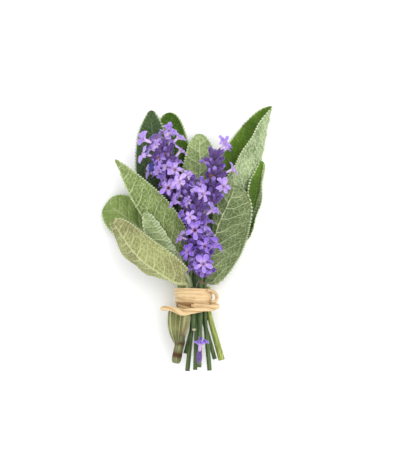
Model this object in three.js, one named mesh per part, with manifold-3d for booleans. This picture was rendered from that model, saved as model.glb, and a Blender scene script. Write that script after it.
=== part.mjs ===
// A small posy of fresh sage leaves and lavender, tied with raffia and lying on its back.
// Millimetres, +Z up. The stems run along Y and the leaf tips point to +Y. While it is built, the
// middle of the tie is at X = Y = 0 and the table is at Z = 0. The finished group is then moved so
// that the middle of its footprint is at the origin.
//
// Inside the tie every stem and petiole has its own place in a six-sided pack. Outside it each
// one follows its own curve, and each leaf lies at the height of its own layer.
import * as THREE from "three";
import { mergeVertices } from "three/addons/utils/BufferGeometryUtils.js";
import Module from "manifold-3d";

const wasm = await Module();
wasm.setup();

// Driving dimensions.
const STEM_DIAMETER = 1.8; // lavender stems
const PETIOLE_DIAMETER = 2.3; // leaf stalks, and the young stem
const SAGE_STEM_DIAMETER = 3.2;
const SLOT_GAP = 0.35; // between neighbours in the tie, and to the raffia round them
const LEAF_THICKNESS = 0.7; // at the middle of a blade
const LEAF_RIM = 0.4; // at the margin
const LAYER_GAP = 1.2; // between leaves that lie one on another
const FOLD_RADIUS = 1.6; // of a leaf folded along its midrib
const RAFFIA_THICKNESS = 0.5;
const RAFFIA_WIDTH = 1.7;
const RAFFIA_TURNS = 3;
const TURN_GAP = 0.3;
const STRAND_START = 2.3; // diameters of the twisted strand at its two ends
const STRAND_END = 3.4;
const STALK_CUT = -33; // Y of the long stems' cut ends
const CALYX_LENGTH = 5.6;
const CALYX_DIAMETER = 2.3;
const CALYX_LEAN = 42; // of a closed bud, in degrees from its stalk
const OPEN_LEAN = 60; // of an open floret
const WHORL_PITCH = 5.4;
const WHORL_COUNT = 6; // calyxes round each whorl
const COROLLA_SPREAD = 8; // across the lobes
const COROLLA_TUBE = 3.0; // what shows of the tube above its calyx
const COROLLA_GAP = 0.3; // between the tube and its calyx
const COROLLA_THROAT = 1.4; // across the tube's mouth

// The tie and its pack, worked out from the sizes above.
const SLOT_PITCH = SAGE_STEM_DIAMETER / 2 + PETIOLE_DIAMETER / 2 + SLOT_GAP;
const ROW_PITCH = SLOT_PITCH * Math.sin(Math.PI / 3);
const WINDING_SIDES = 24; // flats in each turn of the raffia
const WINDING_INNER = 2 * SLOT_PITCH + PETIOLE_DIAMETER / 2 + SLOT_GAP;
const WINDING_OUTER = WINDING_INNER + RAFFIA_THICKNESS;
const TIE_CENTRE_Z = WINDING_OUTER * Math.cos(Math.PI / WINDING_SIDES);
const TURN_PITCH = RAFFIA_WIDTH + TURN_GAP;
const TIE_HALF = (RAFFIA_TURNS * TURN_PITCH + RAFFIA_WIDTH) / 2;
const TIE_RUN_OUT = 1; // stems stay side by side this far beyond the tie
const LAYER_PITCH = LEAF_THICKNESS + LAYER_GAP;
const TABLE_LAYER = LEAF_THICKNESS / 2;

const UP = new THREE.Vector3(0, 0, 1);
const radians = THREE.MathUtils.degToRad;
const lerp = THREE.MathUtils.lerp;
const smooth = (t) => THREE.MathUtils.smoothstep(t, 0, 1);

const PAINT = {
  sageUpper: { color: 0x4d6b34, roughness: 0.75, metalness: 0 },
  sageUnder: { color: 0x93a474, roughness: 0.9, metalness: 0 },
  sageOlive: { color: 0xa0a065, roughness: 0.9, metalness: 0 },
  stalk: { color: 0x6b7449, roughness: 0.7, metalness: 0 },
  youngStem: { color: 0xa1ad4f, roughness: 0.65, metalness: 0 },
  sageStem: { color: 0x8a8455, roughness: 0.8, metalness: 0 },
  corolla: { color: 0x9a78dc, roughness: 0.6, metalness: 0 },
  calyx: { color: 0x6d5a86, roughness: 0.85, metalness: 0 },
  raffia: { color: 0xd9b67c, roughness: 0.7, metalness: 0 },
};

const posy = new THREE.Group();

function addPiece(name, geometry, paint) {
  const piece = new THREE.Mesh(geometry, new THREE.MeshStandardMaterial(PAINT[paint]));
  piece.name = name;
  posy.add(piece);
  return piece;
}

// A closed mesh with only its positions, its shared corners merged.
function welded(geometry) {
  const plain = geometry.clone();
  plain.deleteAttribute("normal");
  plain.deleteAttribute("uv");
  return mergeVertices(plain, 1e-5);
}

// Moves every corner of a closed geometry by a rule.
function reshaped(geometry, rule) {
  const shape = welded(geometry);
  const corners = shape.attributes.position;
  for (let i = 0; i < corners.count; i += 1) {
    const moved = rule(new THREE.Vector3().fromBufferAttribute(corners, i));
    corners.setXYZ(i, moved.x, moved.y, moved.z);
  }
  shape.computeVertexNormals();
  return shape;
}

// The place in the tie of a row (-2 to 2, from the table up) and a column from the left.
function slot(row, column) {
  const places = 5 - Math.abs(row);
  const x = (column - (places - 1) / 2) * SLOT_PITCH;
  return { x, z: TIE_CENTRE_Z + row * ROW_PITCH };
}

// Straight from just below the tie to its upper edge, and on by a run-out.
function throughTie(x, z, runOut) {
  const stops = [-TIE_HALF - TIE_RUN_OUT, 0, TIE_HALF + runOut];
  return stops.map((y) => new THREE.Vector3(x, y, z));
}

function sideways(tangent) {
  return new THREE.Vector3().crossVectors(tangent, UP).normalize();
}

// A round body along a curve. radiusAt gives the radius from 0 at the start to 1 at the end.
function sweep(curve, radiusAt, sides, steps) {
  const rod = new THREE.CylinderGeometry(1, 1, 1, sides, steps);
  return reshaped(rod, (corner) => {
    const along = corner.y + 0.5;
    const tangent = curve.getTangentAt(along);
    const across = sideways(tangent);
    const normal = new THREE.Vector3().crossVectors(across, tangent);
    const radius = radiusAt(along);
    return curve
      .getPointAt(along)
      .addScaledVector(across, corner.x * radius)
      .addScaledVector(normal, corner.z * radius);
  });
}

// --- Sage leaves --------------------------------------------------------------------------

// Each leaf's midrib runs from its cut end (X, Y), through its slot in the tie, and along route:
// points to the tip, as X and the distance beyond the tie's upper edge. layer is the height it
// lies at beyond the tie, in leaf layers, and arch is how many layers its middle is lifted by.
// base is where the blade starts along the midrib, and point is how sharp its tip is. left and
// right are the half widths, seen from the tie. foldLeft and foldRight give each half's slope in
// degrees, from the blade's base to its tip; more than 90 folds that half right over. leftLag is
// how much higher up the left half starts, and shoulder how slowly the blade widens from its
// base. A leaf that rests comes down to the table.
const LEAVES = [
  {
    name: "leaf_back_left", paint: "sageUpper", row: -1, column: 0, cut: [-7.5, -15],
    route: [[-8.5, 20.1], [-14, 40.1], [-17.6, 58.1], [-18.7, 77.6]],
    layer: 1, arch: -0.2, base: 0.42, point: 0.62, left: 8.6, right: 8.2,
    foldLeft: [-6, -10], foldRight: [4, 8], rests: true,
  },
  {
    name: "leaf_back_inner", paint: "sageUpper", row: -2, column: 0, cut: [-4, -12],
    route: [[-4.5, 20.1], [-7, 40.1], [-9.6, 58.1], [-10.8, 76.7]],
    layer: 0, arch: -0.2, base: 0.45, point: 0.45, left: 7.6, right: 7.8,
    foldLeft: [2, 2], foldRight: [5, 3], rests: true,
  },
  {
    name: "leaf_back_centre", paint: "sageUnder", row: -1, column: 1, cut: [-2, -9],
    route: [[0.4, 16.1], [1.6, 34.1], [2.8, 52.1], [2.4, 67]],
    layer: 2.2, arch: 0.75, base: 0.4, point: 0.5, left: 7.6, right: 8,
    foldLeft: [4, 8], foldRight: [2, 6],
  },
  {
    name: "leaf_right_tall", paint: "sageUpper", row: -2, column: 1, cut: [0.5, -10],
    route: [[11, 18.1], [20, 33.1], [26.6, 47.1], [31, 62.1], [34.1, 79.4]],
    layer: 0, arch: 0.1, base: 0.36, point: 0.62, left: 17.5, right: 14,
    foldLeft: [1, 1], foldRight: [166, 126], rests: true,
  },
  {
    name: "leaf_right_edge", paint: "sageUnder", row: -2, column: 2, cut: [4.5, -9],
    route: [[13.8, 10.7], [21.4, 22.1], [26, 34.1], [28.4, 45.1], [30.2, 55]],
    layer: 2, arch: 0.1, base: 0.4, point: 0.6, left: 6.2, right: 6.4,
    foldLeft: [58, 66], foldRight: [78, 84],
  },
  {
    name: "leaf_right_front", paint: "sageUnder", row: -1, column: 3, cut: [6, -11],
    route: [[5.8, 4.2], [7.8, 16.1], [11.3, 28.1], [15.5, 37.1], [18.4, 44.1]],
    layer: 7.1, arch: 0.8, base: 0.28, point: 0.42, left: 7.2, right: 13,
    foldLeft: [-15, -12], foldRight: [-4, 4],
  },
  {
    name: "leaf_left_low", paint: "sageUpper", row: 0, column: 0, cut: [-9.5, -15],
    route: [[-10, 8.2], [-18, 20.1], [-28, 29.1], [-38.4, 36.6]],
    layer: 1.8, arch: -0.55, base: 0.46, point: 0.36, left: 9.4, right: 9.4,
    foldLeft: [-4, -8], foldRight: [4, 0],
  },
  {
    name: "leaf_left_tall", paint: "sageUnder", row: 1, column: 0, cut: [-7, -18],
    route: [[-6, 6.2], [-12.5, 17.1], [-21.3, 30], [-28.4, 42.1], [-34.1, 55.5]],
    layer: 6, arch: 0.5, base: 0.36, point: 0.82, left: 6.4, right: 12.8,
    foldLeft: [-172, -100], foldRight: [4, 4],
  },
  {
    name: "leaf_left_small", paint: "sageUnder", row: 1, column: 1, cut: [-2.5, -9],
    route: [[-3.5, 6.2], [-6.8, 14.2], [-10.6, 20.6], [-15, 27.1], [-20.5, 33.1]],
    layer: 8, arch: 2.25, base: 0.49, point: 0.6, left: 8, right: 3,
    foldLeft: [-10, -6], foldRight: [-160, -130],
  },
  {
    name: "leaf_left_front", paint: "sageOlive", row: 2, column: 0, cut: [-5, -17],
    route: [[-8.1, 2.4], [-15.2, 6.8], [-23.1, 12.8], [-29.3, 19.9], [-35.4, 29.1]],
    layer: 7.4, arch: 5.5, base: 0.335, point: 0.5, left: 7.8, right: 9.4,
    foldLeft: [-76, -58], foldRight: [2, -6], leftLag: 0.2, shoulder: 0.34,
  },
];

const LEAF_STEPS = 20; // along the midrib
const LEAF_COLUMNS = 6; // across the blade
const SECTION_STEPS = 24; // for adding up a half's curve
const TIP_HALF_WIDTH = 0.25;
const REST_TRIES = 4;
const BLADE_SHOULDER = 0.5; // how slowly a blade widens from its base, unless the leaf says
const BLADE_OPENS = 8; // the round petiole is a flat blade an eighth of the way up it
const FOLD_OPENS = 8; // and its fold is whole there too

function layerHeight(layer) {
  return TABLE_LAYER + layer * LAYER_PITCH;
}

function midribOf(leaf, drop) {
  const { x, z } = slot(leaf.row, leaf.column);
  const far = layerHeight(leaf.layer) - drop;
  const cut = new THREE.Vector3(leaf.cut[0], leaf.cut[1], z);
  const points = [cut, ...throughTie(x, z, TIE_RUN_OUT)];
  leaf.route.forEach(([routeX, routeY], i) => {
    const share = (i + 1) / leaf.route.length;
    const rise = leaf.arch * LAYER_PITCH * Math.sin(Math.PI * share);
    const height = lerp(z, far, smooth(share)) + rise;
    points.push(new THREE.Vector3(routeX, TIE_HALF + routeY, height));
  });
  return new THREE.CatmullRomCurve3(points, false, "centripetal");
}

// A half blade's width from 0 to 1: rounded at its base, widest near its middle.
function bladeProfile(t, point, shoulder = BLADE_SHOULDER) {
  if (t <= 0 || t >= 1) return 0;
  const widest = shoulder / (shoulder + point);
  const peak = widest ** shoulder * (1 - widest) ** point;
  return (t ** shoulder * (1 - t) ** point) / peak;
}

// Where a point of the cross-section is, sideways and along the section's up, with its slope.
function sectionPoint(leaf, t, share, halfWidth) {
  const opened = smooth(t * FOLD_OPENS);
  const left = radians(opened * lerp(leaf.foldLeft[0], leaf.foldLeft[1], t));
  const right = radians(opened * lerp(leaf.foldRight[0], leaf.foldRight[1], t));
  const side = share < 0 ? -1 : 1;
  const fold = side < 0 ? left : right;
  const turn = (left + right) / 2;
  const point = { across: 0, up: 0, slope: 0 };
  const slopeAt = (reach) => side * (fold - turn * Math.exp(-(reach * halfWidth) / FOLD_RADIUS));
  const step = Math.abs(share) / SECTION_STEPS;
  for (let i = 0; i < SECTION_STEPS; i += 1) {
    const slope = slopeAt((i + 0.5) * step);
    point.across += side * step * halfWidth * Math.cos(slope);
    point.up += side * step * halfWidth * Math.sin(slope);
  }
  point.slope = slopeAt(Math.abs(share));
  return point;
}

function leafGeometry(leaf, drop = 0) {
  const midrib = midribOf(leaf, drop);
  const slab = new THREE.BoxGeometry(2, 1, 1, LEAF_COLUMNS, LEAF_STEPS, 1);
  return reshaped(slab, (corner) => {
    const along = corner.y + 0.5;
    const share = corner.x;
    const t = THREE.MathUtils.clamp((along - leaf.base) / (1 - leaf.base), 0, 1);
    const lag = share < 0 ? (leaf.leftLag ?? 0) : 0;
    const blade = bladeProfile((t - lag) / (1 - lag), leaf.point, leaf.shoulder);
    const petiole = lerp(PETIOLE_DIAMETER / 2, TIP_HALF_WIDTH, smooth(t));
    const halfWidth = petiole + blade * (share < 0 ? leaf.left : leaf.right);
    const section = sectionPoint(leaf, t, share, halfWidth);
    const opened = smooth(t * BLADE_OPENS);
    const round = PETIOLE_DIAMETER * Math.sqrt(Math.max(0.04, 1 - share * share));
    const flat = lerp(LEAF_RIM, LEAF_THICKNESS, 1 - share * share);
    const thickness = lerp(round, flat, opened);
    const tangent = midrib.getTangentAt(along);
    const across = sideways(tangent);
    const normal = new THREE.Vector3().crossVectors(across, tangent);
    const lift = corner.z * thickness;
    return midrib
      .getPointAt(along)
      .addScaledVector(across, section.across - lift * Math.sin(section.slope))
      .addScaledVector(normal, section.up + lift * Math.cos(section.slope));
  });
}

function lowestPoint(geometry) {
  geometry.computeBoundingBox();
  return geometry.boundingBox.min.z;
}

// A leaf that rests on the table: its far end is let down until its lowest point touches.
function restingLeaf(leaf) {
  let drop = 0;
  let geometry = leafGeometry(leaf);
  for (let i = 0; i < REST_TRIES; i += 1) {
    drop += lowestPoint(geometry);
    geometry = leafGeometry(leaf, drop);
  }
  return geometry.translate(0, 0, -lowestPoint(geometry));
}

for (const leaf of LEAVES) {
  addPiece(leaf.name, leaf.rests ? restingLeaf(leaf) : leafGeometry(leaf), leaf.paint);
}

// --- Lavender -----------------------------------------------------------------------------

// Each stalk: its slot, its cut end (X, Y), its axis beyond the tie (X, the distance beyond the
// tie's upper edge, and the height in leaf layers), how many whorls of calyxes it has, counted
// down from the tip, and its open florets as [distance from the tip, turn round the stalk, size].
// The turn is 0 towards +Z and 90 to the right, seen from the tie.
const STALKS = [
  {
    name: "lavender_left", row: 0, column: 2, cut: [-2.7, STALK_CUT],
    axis: [
      [0.6, 8.2, 4.35], [-2.5, 24.8, 4.85], [-8.2, 42.1, 5.25], [-12, 53.1, 5.6], [-14.3, 61.6, 6],
    ],
    whorls: 5,
    open: [
      [0, -36, 1], [0, 26, 1], [2.2, 92, 0.85], [5.1, -80, 1], [8.5, 88, 0.9], [13, -100, 0.9],
      [15.5, 22, 1.1], [22, -16, 1],
    ],
  },
  {
    name: "lavender_right", row: 1, column: 3, cut: [7, STALK_CUT + 0.4],
    axis: [[6.4, 8.2, 5.5], [8.2, 24.8, 6.6], [8.6, 38.1, 7.6], [9, 48.1, 7.7], [9.6, 57.1, 7.9]],
    whorls: 4,
    open: [[0, 18, 0.9], [9, 84, 0.8], [17, 30, 1]],
  },
  {
    name: "lavender_front", row: 2, column: 2, cut: [2.4, STALK_CUT + 2],
    axis: [[3.6, 5.3, 7.3], [2.9, 13.8, 8.15], [1.4, 26.9, 8.9], [-0.5, 38.1, 9.2], [-2, 45.1, 9.3]],
    whorls: 8,
    open: [
      [2, -30, 0.9], [9.2, 34, 1], [10, -75, 0.9], [16.4, 72, 0.95], [17.4, -20, 0.75],
      [23.5, -8, 1], [26, -74, 0.8], [30.5, 62, 1], [32.5, -38, 0.95], [37.4, 6, 1],
    ],
  },
];

const STALK_SIDES = 8;
const STALK_STEPS = 16;
const STALK_TIP_DIAMETER = 1.2;
const CALYX_SIDES = 5;
const CALYX_SEAT = 0.9; // from the stalk's tip down to its last whorl
const COROLLA_SIDES = 10;
const COROLLA_LOBES = 5;
const LOBE_DEPTH = 0.16; // how deep the notches between the lobes are, as a share of the radius
const LOBE_RIM = 0.4; // how thick a lobe is at its rim
const LOBE_RISE = 0.5; // how far the lobes' rim stands above the tube
const COROLLA_CLEARANCE = 2.4; // from an open floret's calyx to the next bud's

function stemCurve(row, column, cut, beyond) {
  const { x, z } = slot(row, column);
  const points = [
    new THREE.Vector3(cut[0], cut[1], z),
    ...throughTie(x, z, beyond.length > 0 ? TIE_RUN_OUT : 0),
    ...beyond.map(([alongX, rise, layer]) => (
      new THREE.Vector3(alongX, TIE_HALF + rise, layerHeight(layer))
    )),
  ];
  return new THREE.CatmullRomCurve3(points, false, "centripetal");
}

function asSolid(geometry) {
  const mesh = new wasm.Mesh({
    numProp: 3,
    vertProperties: new Float32Array(geometry.attributes.position.array),
    triVerts: new Uint32Array(geometry.index.array),
  });
  return new wasm.Manifold(mesh);
}

function asGeometry(solid) {
  const mesh = solid.getMesh();
  const geometry = new THREE.BufferGeometry();
  geometry.setAttribute("position", new THREE.BufferAttribute(mesh.vertProperties, 3));
  geometry.setIndex(new THREE.BufferAttribute(mesh.triVerts, 1));
  geometry.computeVertexNormals();
  return geometry;
}

// A solid's outer shell: pockets closed in between crowded calyxes are filled.
function outerShell(solid) {
  const shells = solid.decompose();
  return shells.reduce((largest, shell) => (shell.volume() > largest.volume() ? shell : largest));
}

// A lathed body that stands at a point and points along a direction. ripple, if given, scales
// the radius by the turn round its axis and the height.
function standing(profile, sides, origin, direction, ripple = () => 1) {
  const points = profile.map(([radius, height]) => new THREE.Vector2(radius, height));
  const turned = new THREE.LatheGeometry(points, sides);
  const tilt = new THREE.Quaternion().setFromUnitVectors(new THREE.Vector3(0, 1, 0), direction);
  return reshaped(turned, (corner) => {
    const scale = ripple(Math.atan2(corner.z, corner.x), corner.y);
    const shaped = new THREE.Vector3(corner.x * scale, corner.y, corner.z * scale);
    return shaped.applyQuaternion(tilt).add(origin);
  });
}

const CALYX_PROFILE = [
  [0, 0],
  [CALYX_DIAMETER * 0.5, CALYX_LENGTH * 0.55],
  [CALYX_DIAMETER * 0.4, CALYX_LENGTH],
  [0, CALYX_LENGTH],
];

// The foot, direction and mouth of the calyx at a distance down from a stalk's tip.
function calyxPlace(axis, distance, turn, lean) {
  const share = 1 - (distance + CALYX_SEAT) / axis.getLength();
  const tangent = axis.getTangentAt(share);
  const across = sideways(tangent);
  const normal = new THREE.Vector3().crossVectors(across, tangent);
  const angle = radians(turn);
  const outward = across.multiplyScalar(Math.sin(angle)).addScaledVector(normal, Math.cos(angle));
  const direction = tangent.clone().multiplyScalar(Math.cos(radians(lean)));
  direction.addScaledVector(outward, Math.sin(radians(lean)));
  const foot = axis.getPointAt(share).addScaledVector(outward, STALK_TIP_DIAMETER / 4);
  const mouth = foot.clone().addScaledVector(direction, CALYX_LENGTH);
  return { foot, direction, mouth };
}

function closedBuds(stalk, axis, openPlaces) {
  const buds = [];
  for (let whorl = 0; whorl < stalk.whorls; whorl += 1) {
    for (let i = 0; i < WHORL_COUNT; i += 1) {
      const turn = (360 * (i + (whorl % 2) / 2)) / WHORL_COUNT;
      const place = calyxPlace(axis, whorl * WHORL_PITCH, turn, CALYX_LEAN);
      const isCrowding = (open) => open.mouth.distanceTo(place.mouth) < COROLLA_CLEARANCE;
      if (!openPlaces.some(isCrowding)) buds.push(place);
    }
  }
  return buds;
}

// A corolla: a slim tube that flares into lobes round a hollow throat.
function corollaGeometry(place, size) {
  const radius = (COROLLA_SPREAD * size) / 2;
  const tube = COROLLA_TUBE * size;
  const throat = COROLLA_THROAT / 2;
  const profile = [
    [0, 0],
    [throat * 0.8, 0],
    [throat * 1.07, tube * 0.7],
    [radius, tube + LOBE_RISE],
    [radius * 0.96, tube + LOBE_RISE + LOBE_RIM],
    [throat, tube],
    [0, tube * 0.75],
  ];
  const notched = (angle) => 1 - (LOBE_DEPTH * (1 - Math.cos(COROLLA_LOBES * angle)));
  const lobed = (angle, height) => (height > tube ? notched(angle) : 1);
  const origin = place.mouth.clone().addScaledVector(place.direction, COROLLA_GAP);
  return standing(profile, COROLLA_SIDES, origin, place.direction, lobed);
}

const corollas = [];

for (const stalk of STALKS) {
  const axis = stemCurve(stalk.row, stalk.column, stalk.cut, stalk.axis);
  const radiusAt = (along) => lerp(STEM_DIAMETER, STALK_TIP_DIAMETER, smooth(along)) / 2;
  let body = asSolid(sweep(axis, radiusAt, STALK_SIDES, STALK_STEPS));
  const open = stalk.open.map(([distance, turn]) => calyxPlace(axis, distance, turn, OPEN_LEAN));
  for (const place of [...open, ...closedBuds(stalk, axis, open)]) {
    const calyx = standing(CALYX_PROFILE, CALYX_SIDES, place.foot, place.direction);
    body = body.add(asSolid(calyx));
  }
  addPiece(stalk.name, asGeometry(outerShell(body)), "calyx");
  open.forEach((place, i) => corollas.push({ place, size: stalk.open[i][2] }));
}

corollas.forEach(({ place, size }, i) => {
  const number = String(i + 1).padStart(2, "0");
  addPiece(`corolla_${number}`, corollaGeometry(place, size), "corolla");
});

// The low floret lies on the front stalk, near its cut end.
const LOW_FLORET_REST = 0.3; // between it and the stalk
const LOW_FLORET_SIZE = 0.72;
const frontStalk = STALKS.find((stalk) => stalk.name === "lavender_front");
const LOW_FLORET_FOOT = new THREE.Vector3(
  frontStalk.cut[0],
  frontStalk.cut[1] + 1.6,
  slot(frontStalk.row, frontStalk.column).z + (STEM_DIAMETER + CALYX_DIAMETER) / 2 + LOW_FLORET_REST,
);
const lowDirection = new THREE.Vector3(0.04, 1, 0.22).normalize();
const lowPlace = {
  foot: LOW_FLORET_FOOT,
  direction: lowDirection,
  mouth: LOW_FLORET_FOOT.clone().addScaledVector(lowDirection, CALYX_LENGTH),
};
addPiece("low_calyx", standing(CALYX_PROFILE, STALK_SIDES, lowPlace.foot, lowDirection), "calyx");
addPiece("low_corolla", corollaGeometry(lowPlace, LOW_FLORET_SIZE), "corolla");

// --- Stems held in the tie ----------------------------------------------------------------

// Each bare stem: its slot, its lower cut end (X, Y), how much thicker it is there than in the
// tie, and what it is made of. They all end level with the tie's upper edge.
const BARE_STEMS = [
  { name: "lavender_stem", row: 1, column: 2, cut: [0.7, STALK_CUT + 0.7], swell: 1, paint: "stalk" },
  { name: "dark_stem", row: 0, column: 3, cut: [9.3, -27.8], swell: 1, paint: "stalk" },
  { name: "young_stem", row: 0, column: 4, cut: [12.3, -28.2], swell: 1.22, paint: "youngStem" },
  { name: "short_stem", row: 2, column: 1, cut: [0.3, -15.6], swell: 0.96, paint: "youngStem" },
  { name: "back_stem", row: -1, column: 2, cut: [-3.4, -25.5], swell: 1.22, paint: "stalk" },
  { name: "sage_stem", row: 0, column: 1, cut: [-7.8, -29.6], swell: 1.31, paint: "sageStem" },
];
const TIE_DIAMETER = {
  stalk: STEM_DIAMETER,
  youngStem: PETIOLE_DIAMETER,
  sageStem: SAGE_STEM_DIAMETER,
};
const BARE_STEPS = 8;
const SWELL_END = 0.62; // the share of a stem's length, from its cut end, that is thicker

for (const stem of BARE_STEMS) {
  const curve = stemCurve(stem.row, stem.column, stem.cut, []);
  const inTie = TIE_DIAMETER[stem.paint];
  const radiusAt = (along) => {
    const slimmed = smooth(Math.min(1, along / SWELL_END));
    return (inTie * lerp(stem.swell, 1, slimmed)) / 2;
  };
  addPiece(stem.name, sweep(curve, radiusAt, STALK_SIDES, BARE_STEPS), stem.paint);
}

// --- Raffia -------------------------------------------------------------------------------

// The flat winding. A flat of each turn faces straight down, and the bundle rests on it.
function windingGeometry() {
  const steps = WINDING_SIDES * RAFFIA_TURNS;
  const ribbon = new THREE.BoxGeometry(1, 1, 1, 1, steps, 1);
  return reshaped(ribbon, (corner) => {
    const turn = (corner.y + 0.5) * RAFFIA_TURNS;
    const angle = 2 * Math.PI * (turn + 0.5 / WINDING_SIDES);
    const radius = (WINDING_INNER + WINDING_OUTER) / 2 + corner.z * RAFFIA_THICKNESS;
    const y = (turn - RAFFIA_TURNS / 2) * TURN_PITCH - corner.x * RAFFIA_WIDTH;
    return new THREE.Vector3(radius * Math.sin(angle), y, TIE_CENTRE_Z + radius * Math.cos(angle));
  });
}

addPiece("raffia_winding", windingGeometry(), "raffia");

const STRAND_SIDES = 8;
const STRAND_STEPS = 18;

// A strand's points are given round the tie: the turn from +Z to the right, Y, and how far the
// middle of the strand stands off the winding.
function roundTie(points) {
  const placed = points.map(([turn, y, stand]) => {
    const radius = WINDING_OUTER + stand;
    const angle = radians(turn);
    return new THREE.Vector3(radius * Math.sin(angle), y, TIE_CENTRE_Z + radius * Math.cos(angle));
  });
  return new THREE.CatmullRomCurve3(placed, false, "centripetal");
}

const STRAND_STAND = STRAND_END / 2 + SLOT_GAP;
const strand = roundTie([
  [-84, -4.4, 6.2],
  [-62, -5.3, 3],
  [-38, -6.4, STRAND_STAND],
  [-10, -7, STRAND_STAND],
  [20, -6.2, STRAND_STAND],
  [50, -5.2, STRAND_STAND],
  [82, -4.6, STRAND_STAND],
]);
addPiece(
  "raffia_strand",
  sweep(strand, (along) => lerp(STRAND_START, STRAND_END, along) / 2, STRAND_SIDES, STRAND_STEPS),
  "raffia",
);

const LOOP_DIAMETER = 0.9;
const loop = roundTie([
  [38, 2.6, LOOP_DIAMETER / 2 + SLOT_GAP],
  [56, 2.2, 1.1],
  [74, 0.6, 2.6],
  [78, -1.2, 2.9],
  [70, -2.4, 1.8],
  [56, -2.8, LOOP_DIAMETER / 2 + SLOT_GAP],
]);
addPiece("raffia_loop", sweep(loop, () => LOOP_DIAMETER / 2, STRAND_SIDES, STRAND_STEPS), "raffia");

// --- Resting on the table -----------------------------------------------------------------

function footprint(object) {
  return new THREE.Box3().setFromObject(object, true);
}

const box = footprint(posy);
const middle = box.getCenter(new THREE.Vector3());
posy.position.set(-middle.x, -middle.y, 0);

export default posy;
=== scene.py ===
import math

import bpy
import numpy as np
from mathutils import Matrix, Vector


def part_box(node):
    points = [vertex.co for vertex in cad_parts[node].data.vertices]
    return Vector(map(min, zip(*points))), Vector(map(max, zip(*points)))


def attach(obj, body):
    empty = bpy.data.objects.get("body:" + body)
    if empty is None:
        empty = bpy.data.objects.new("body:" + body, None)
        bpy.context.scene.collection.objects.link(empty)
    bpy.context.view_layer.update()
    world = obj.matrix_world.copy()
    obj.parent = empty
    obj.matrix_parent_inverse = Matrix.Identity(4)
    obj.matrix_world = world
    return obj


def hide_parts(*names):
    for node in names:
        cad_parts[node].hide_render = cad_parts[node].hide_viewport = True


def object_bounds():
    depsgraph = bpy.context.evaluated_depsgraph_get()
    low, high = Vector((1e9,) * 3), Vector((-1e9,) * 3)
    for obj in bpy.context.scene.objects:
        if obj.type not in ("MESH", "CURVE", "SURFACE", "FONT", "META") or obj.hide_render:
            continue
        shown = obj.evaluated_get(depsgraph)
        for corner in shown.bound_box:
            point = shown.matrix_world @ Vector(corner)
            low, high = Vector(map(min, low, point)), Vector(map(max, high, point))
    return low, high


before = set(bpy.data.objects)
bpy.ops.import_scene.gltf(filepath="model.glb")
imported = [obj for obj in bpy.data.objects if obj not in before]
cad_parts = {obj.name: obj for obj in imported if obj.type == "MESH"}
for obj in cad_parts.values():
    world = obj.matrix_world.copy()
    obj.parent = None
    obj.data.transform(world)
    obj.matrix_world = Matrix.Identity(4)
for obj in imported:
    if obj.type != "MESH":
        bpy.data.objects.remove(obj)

# A small posy of sage leaves and lavender, tied with raffia and lying on its back. Shapes are
# worked out in millimetres, with the middle of the tie at X = Y = 0, the table at Z = 0 and the
# leaf tips towards +Y, and go to the frame's metres as each mesh is made.
CAD_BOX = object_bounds()
WINDING_LOW, WINDING_HIGH = (np.array(corner) * 1000 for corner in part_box("raffia_winding"))
ORIGIN = (WINDING_LOW + WINDING_HIGH) / 2 * (1, 1, 0)

# --- Sizes shared with the CAD model, in millimetres ----------------------------------------
STEM_DIAMETER = 1.8
PETIOLE_DIAMETER = 2.3
SAGE_STEM_DIAMETER = 3.2
SLOT_GAP = 0.35
LEAF_THICKNESS = 0.7
LEAF_RIM = 0.4
LAYER_GAP = 1.2
FOLD_RADIUS = 1.6
RAFFIA_THICKNESS = 0.5
RAFFIA_WIDTH = 1.7
RAFFIA_TURNS = 3
TURN_GAP = 0.3
STRAND_START = 2.3
STRAND_END = 3.4
STALK_CUT = -33
CALYX_LENGTH = 5.6
CALYX_DIAMETER = 2.3
CALYX_LEAN = 42
OPEN_LEAN = 60
WHORL_PITCH = 5.4
COROLLA_SPREAD = 8
COROLLA_TUBE = 3.0
COROLLA_GAP = 0.3

SLOT_PITCH = SAGE_STEM_DIAMETER / 2 + PETIOLE_DIAMETER / 2 + SLOT_GAP
ROW_PITCH = SLOT_PITCH * math.sin(math.pi / 3)
WINDING_SIDES = 24
WINDING_INNER = 2 * SLOT_PITCH + PETIOLE_DIAMETER / 2 + SLOT_GAP
WINDING_OUTER = WINDING_INNER + RAFFIA_THICKNESS
TIE_CENTRE_Z = WINDING_OUTER * math.cos(math.pi / WINDING_SIDES)
TURN_PITCH = RAFFIA_WIDTH + TURN_GAP
TIE_HALF = (RAFFIA_TURNS * TURN_PITCH + RAFFIA_WIDTH) / 2
TIE_RUN_OUT = 1
LAYER_PITCH = LEAF_THICKNESS + LAYER_GAP
TABLE_LAYER = LEAF_THICKNESS / 2
TABLE_CLEARANCE = 0.02

UP = np.array([0.0, 0.0, 1.0])


# --- Small mathematics ----------------------------------------------------------------------
def lerp(a, b, t):
    return a + (b - a) * t


def smooth(t):
    t = np.clip(t, 0, 1)
    return t * t * (3 - 2 * t)


def unit(vectors):
    return vectors / np.linalg.norm(vectors, axis=-1, keepdims=True)

def hump(distance, width):
    """1 where the distance is 0, fading over about the width on either side."""
    return np.exp(-((distance / width) ** 2))


def corners(angle):
    """The rounded corners of a square stem, at four times the turn round it."""
    return np.maximum(0, np.cos(angle)) ** 1.5


def ring_turns(sides):
    return np.arange(sides) * 2 * np.pi / sides


def both_sides(front, back=None):
    """Columns across a front face and home again across its back, which repeats the front if None."""
    return np.concatenate([front, (front if back is None else back)[:, ::-1]], axis=1)


def slot_place(row, column):
    """The place in the tie of a row (-2 to 2, from the table up) and a column from the left."""
    places = 5 - abs(row)
    return (column - (places - 1) / 2) * SLOT_PITCH, TIE_CENTRE_Z + row * ROW_PITCH


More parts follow.
